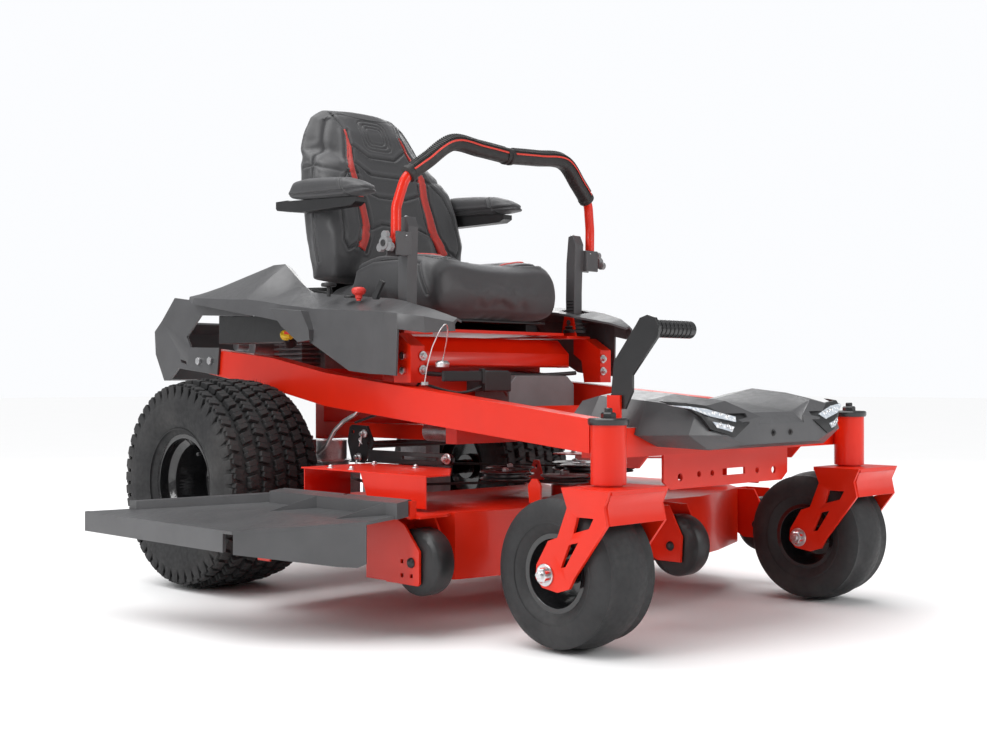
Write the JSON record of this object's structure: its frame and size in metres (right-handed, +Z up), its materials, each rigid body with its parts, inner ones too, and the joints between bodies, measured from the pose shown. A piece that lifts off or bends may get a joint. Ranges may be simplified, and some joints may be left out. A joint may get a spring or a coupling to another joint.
{
  "type": "zero turn mower",
  "caption": "Ride-on zero turn mower: bent side rails, caster forks, mid-mounted cutting deck with hinged chute, high-back seat and two lap bars.",
  "frame": {"origin": "on the ground under the middle of the whole machine's footprint", "axes": "+Z up, -Y to the machine's front, +X to the operator's left"},
  "size_m": [1.595, 2.07, 1.372],
  "materials": {
    "orange_red_paint": "gloss powder coat",
    "black_paint": "satin powder coat",
    "charcoal_plastic": "grained moulding",
    "black_plastic": "moulded",
    "rear_tyre_rubber": "turf tread",
    "front_tyre_rubber": "smooth tread",
    "black_rim": "gloss black",
    "grip_rubber": "ribbed",
    "seat_vinyl": "grained vinyl with sewn seams",
    "grey_plastic": "moulded",
    "red_plastic": "moulded",
    "yellow_plastic": "moulded",
    "zinc_steel": "zinc plated",
    "cast_metal": "cast",
    "belt_rubber": "wrapped belt",
    "lamp_lens": "clear lens over chrome"
  },
  "bodies": {
    "chassis": {"frame_rail_right": "orange_red_paint", "frame_rail_left": "orange_red_paint", "front_axle_beam": "orange_red_paint", "foot_deck": "orange_red_paint", "front_cowl": "charcoal_plastic", "headlight_lenses": "lamp_lens", "rear_frame": "orange_red_paint", "rear_bumper": "charcoal_plastic", "seat_supports": "orange_red_paint", "seat_front_panel": "orange_red_paint", "fender_right": "charcoal_plastic", "fender_left": "charcoal_plastic", "fuel_tank": "black_plastic", "engine_block": "cast_metal", "engine_blower_housing": "black_paint", "battery_box": "grey_plastic", "transaxles": "cast_metal", "chassis_fasteners": "zinc_steel", "tether_cable": "zinc_steel"},
    "seat": {"seat_slide_frame": "black_paint", "seat_cushion": "seat_vinyl", "seat_back": "seat_vinyl"},
    "deck": {"deck_shell": "orange_red_paint", "deck_belt_cover": "orange_red_paint", "deck_belt": "belt_rubber"},
    "chute": {"discharge_chute": "charcoal_plastic"},
    "lift_pedal": {"lift_pedal": "black_paint"},
    "lift_bellcrank": {"lift_bellcrank": "black_paint"},
    "pto_pulley": {"pto_pulley": "black_paint"},
    "pto_knob": {"pto_knob": "red_plastic"},
    "throttle_lever": {"throttle_lever": "black_plastic"},
    "fuel_cap": {"fuel_cap": "yellow_plastic"},
    "rear_wheel_right": {"rear_rim_right": "black_rim", "rear_tyre_right": "rear_tyre_rubber"},
    "caster_right": {"caster_fork_right": "orange_red_paint"},
    "caster_wheel_right": {"caster_rim_right": "black_rim", "caster_tyre_right": "front_tyre_rubber"},
    "drive_arm_right": {"drive_arm_right": "black_paint"},
    "lap_bar_right": {"lap_bar_right": "orange_red_paint", "lap_bar_grip_right": "grip_rubber"},
    "adjust_knob_right": {"adjust_knob_right": "grey_plastic"},
    "armrest_right": {"armrest_bracket_right": "black_plastic", "armrest_pad_right": "seat_vinyl"},
    "rear_wheel_left": {"rear_rim_left": "black_rim", "rear_tyre_left": "rear_tyre_rubber"},
    "caster_left": {"caster_fork_left": "orange_red_paint"},
    "caster_wheel_left": {"caster_rim_left": "black_rim", "caster_tyre_left": "front_tyre_rubber"},
    "drive_arm_left": {"drive_arm_left": "black_paint"},
    "lap_bar_left": {"lap_bar_left": "orange_red_paint", "lap_bar_grip_left": "grip_rubber"},
    "adjust_knob_left": {"adjust_knob_left": "grey_plastic"},
    "armrest_left": {"armrest_bracket_left": "black_plastic", "armrest_pad_left": "seat_vinyl"},
    "blade_center": {"blade_spindle_center": "black_paint"},
    "blade_right": {"blade_spindle_right": "black_paint"},
    "blade_left": {"blade_spindle_left": "black_paint"},
    "anti_scalp_right": {"anti_scalp_wheel_right": "grip_rubber"},
    "anti_scalp_center": {"anti_scalp_wheel_center": "grip_rubber"},
    "anti_scalp_left": {"anti_scalp_wheel_left": "grip_rubber"}
  },
  "joints": [
    {"name": "rear_wheel_spin_right", "type": "hinge", "parent": "chassis", "child": "rear_wheel_right", "pos_m": [-0.348, 0.449, 0.285], "axis": [1, 0, 0], "continuous": true},
    {"name": "caster_swivel_right", "type": "hinge", "parent": "chassis", "child": "caster_right", "pos_m": [-0.323, -0.927, 0.4], "axis": [0, 0, 1], "continuous": true},
    {"name": "caster_spin_right", "type": "hinge", "parent": "caster_right", "child": "caster_wheel_right", "pos_m": [-0.323, -0.838, 0.165], "axis": [1, 0, 0], "continuous": true},
    {"name": "drive_arm_swing_right", "type": "hinge", "parent": "chassis", "child": "drive_arm_right", "pos_m": [-0.169, -0.129, 0.73], "axis": [1, 0, 0], "range_deg": [-12, 12], "stiffness_Nm_per_rad": 120},
    {"name": "lap_bar_open_right", "type": "hinge", "parent": "drive_arm_right", "child": "lap_bar_right", "pos_m": [-0.221, -0.143, 0.915], "axis": [0, -1, 0], "range_deg": [0, 20]},
    {"name": "adjust_knob_turn_right", "type": "hinge", "parent": "lap_bar_right", "child": "adjust_knob_right", "pos_m": [-0.255, -0.143, 0.907], "axis": [1, 0, 0], "range_deg": [-90, 90]},
    {"name": "armrest_lift_right", "type": "hinge", "parent": "seat", "child": "armrest_right", "pos_m": [-0.133, 0.389, 1.052], "axis": [-1, 0, 0], "range_deg": [0, 85]},
    {"name": "rear_wheel_spin_left", "type": "hinge", "parent": "chassis", "child": "rear_wheel_left", "pos_m": [0.648, 0.449, 0.285], "axis": [1, 0, 0], "continuous": true},
    {"name": "caster_swivel_left", "type": "hinge", "parent": "chassis", "child": "caster_left", "pos_m": [0.623, -0.927, 0.4], "axis": [0, 0, 1], "continuous": true},
    {"name": "caster_spin_left", "type": "hinge", "parent": "caster_left", "child": "caster_wheel_left", "pos_m": [0.623, -0.838, 0.165], "axis": [1, 0, 0], "continuous": true},
    {"name": "drive_arm_swing_left", "type": "hinge", "parent": "chassis", "child": "drive_arm_left", "pos_m": [0.469, -0.129, 0.73], "axis": [1, 0, 0], "range_deg": [-12, 12], "stiffness_Nm_per_rad": 120},
    {"name": "lap_bar_open_left", "type": "hinge", "parent": "drive_arm_left", "child": "lap_bar_left", "pos_m": [0.521, -0.143, 0.915], "axis": [0, 1, 0], "range_deg": [0, 20]},
    {"name": "adjust_knob_turn_left", "type": "hinge", "parent": "lap_bar_left", "child": "adjust_knob_left", "pos_m": [0.555, -0.143, 0.907], "axis": [1, 0, 0], "range_deg": [-90, 90]},
    {"name": "armrest_lift_left", "type": "hinge", "parent": "seat", "child": "armrest_left", "pos_m": [0.433, 0.389, 1.052], "axis": [-1, 0, 0], "range_deg": [0, 85]},
    {"name": "seat_slide", "type": "slide", "parent": "chassis", "child": "seat", "axis": [0, 1, 0], "range_m": [-0.05, 0.05]},
    {"name": "deck_lift", "type": "slide", "parent": "chassis", "child": "deck", "axis": [0, 0, 1], "range_m": [0, 0.025], "deforming": ["deck_belt"]},
    {"name": "chute_hinge", "type": "hinge", "parent": "deck", "child": "chute", "pos_m": [-0.498, -0.271, 0.293], "axis": [0, 1, 0], "range_deg": [0, 70]},
    {"name": "blade_spin_center", "type": "hinge", "parent": "deck", "child": "blade_center", "pos_m": [0.15, -0.379, 0.3], "axis": [0, 0, 1], "continuous": true},
    {"name": "blade_spin_right", "type": "hinge", "parent": "deck", "child": "blade_right", "pos_m": [-0.265, -0.191, 0.3], "axis": [0, 0, 1], "continuous": true},
    {"name": "blade_spin_left", "type": "hinge", "parent": "deck", "child": "blade_left", "pos_m": [0.565, -0.191, 0.3], "axis": [0, 0, 1], "continuous": true},
    {"name": "pto_pulley_spin", "type": "hinge", "parent": "chassis", "child": "pto_pulley", "pos_m": [0.15, 0.609, 0.32], "axis": [0, 0, 1], "continuous": true},
    {"name": "anti_scalp_spin_right", "type": "hinge", "parent": "deck", "child": "anti_scalp_right", "pos_m": [-0.452, -0.507, 0.165], "axis": [1, 0, 0], "continuous": true},
    {"name": "anti_scalp_spin_center", "type": "hinge", "parent": "deck", "child": "anti_scalp_center", "pos_m": [0.19, -0.72, 0.165], "axis": [1, 0, 0], "continuous": true},
    {"name": "anti_scalp_spin_left", "type": "hinge", "parent": "deck", "child": "anti_scalp_left", "pos_m": [0.75, -0.585, 0.165], "axis": [1, 0, 0], "continuous": true},
    {"name": "lift_pedal_swing", "type": "hinge", "parent": "chassis", "child": "lift_pedal", "pos_m": [-0.238, -0.885, 0.518], "axis": [1, 0, 0], "range_deg": [0, 21]},
    {"name": "lift_bellcrank_turn", "type": "hinge", "parent": "chassis", "child": "lift_bellcrank", "pos_m": [0.15, 0.069, 0.392], "axis": [-1, 0, 0], "range_deg": [0, 11]},
    {"name": "pto_knob_pull", "type": "slide", "parent": "chassis", "child": "pto_knob", "axis": [0, 0, 1], "range_m": [0, 0.012]},
    {"name": "throttle_swing", "type": "hinge", "parent": "chassis", "child": "throttle_lever", "pos_m": [-0.248, -0.097, 0.776], "axis": [1, 0, 0], "range_deg": [-25, 25]},
    {"name": "fuel_cap_turn", "type": "hinge", "parent": "chassis", "child": "fuel_cap", "pos_m": [-0.15, 0.389, 0.766], "axis": [0, 0, 1], "range_deg": [0, 180]}
  ],
  "couplings": [
    {"joint": "blade_spin_right", "follows": "blade_spin_center", "ratio": 1},
    {"joint": "blade_spin_left", "follows": "blade_spin_center", "ratio": 1},
    {"joint": "pto_pulley_spin", "follows": "blade_spin_center", "ratio": 0.8267},
    {"joint": "lift_pedal_swing", "follows": "deck_lift", "rad_per_m": 14},
    {"joint": "lift_bellcrank_turn", "follows": "deck_lift", "rad_per_m": 7.14}
  ]
}
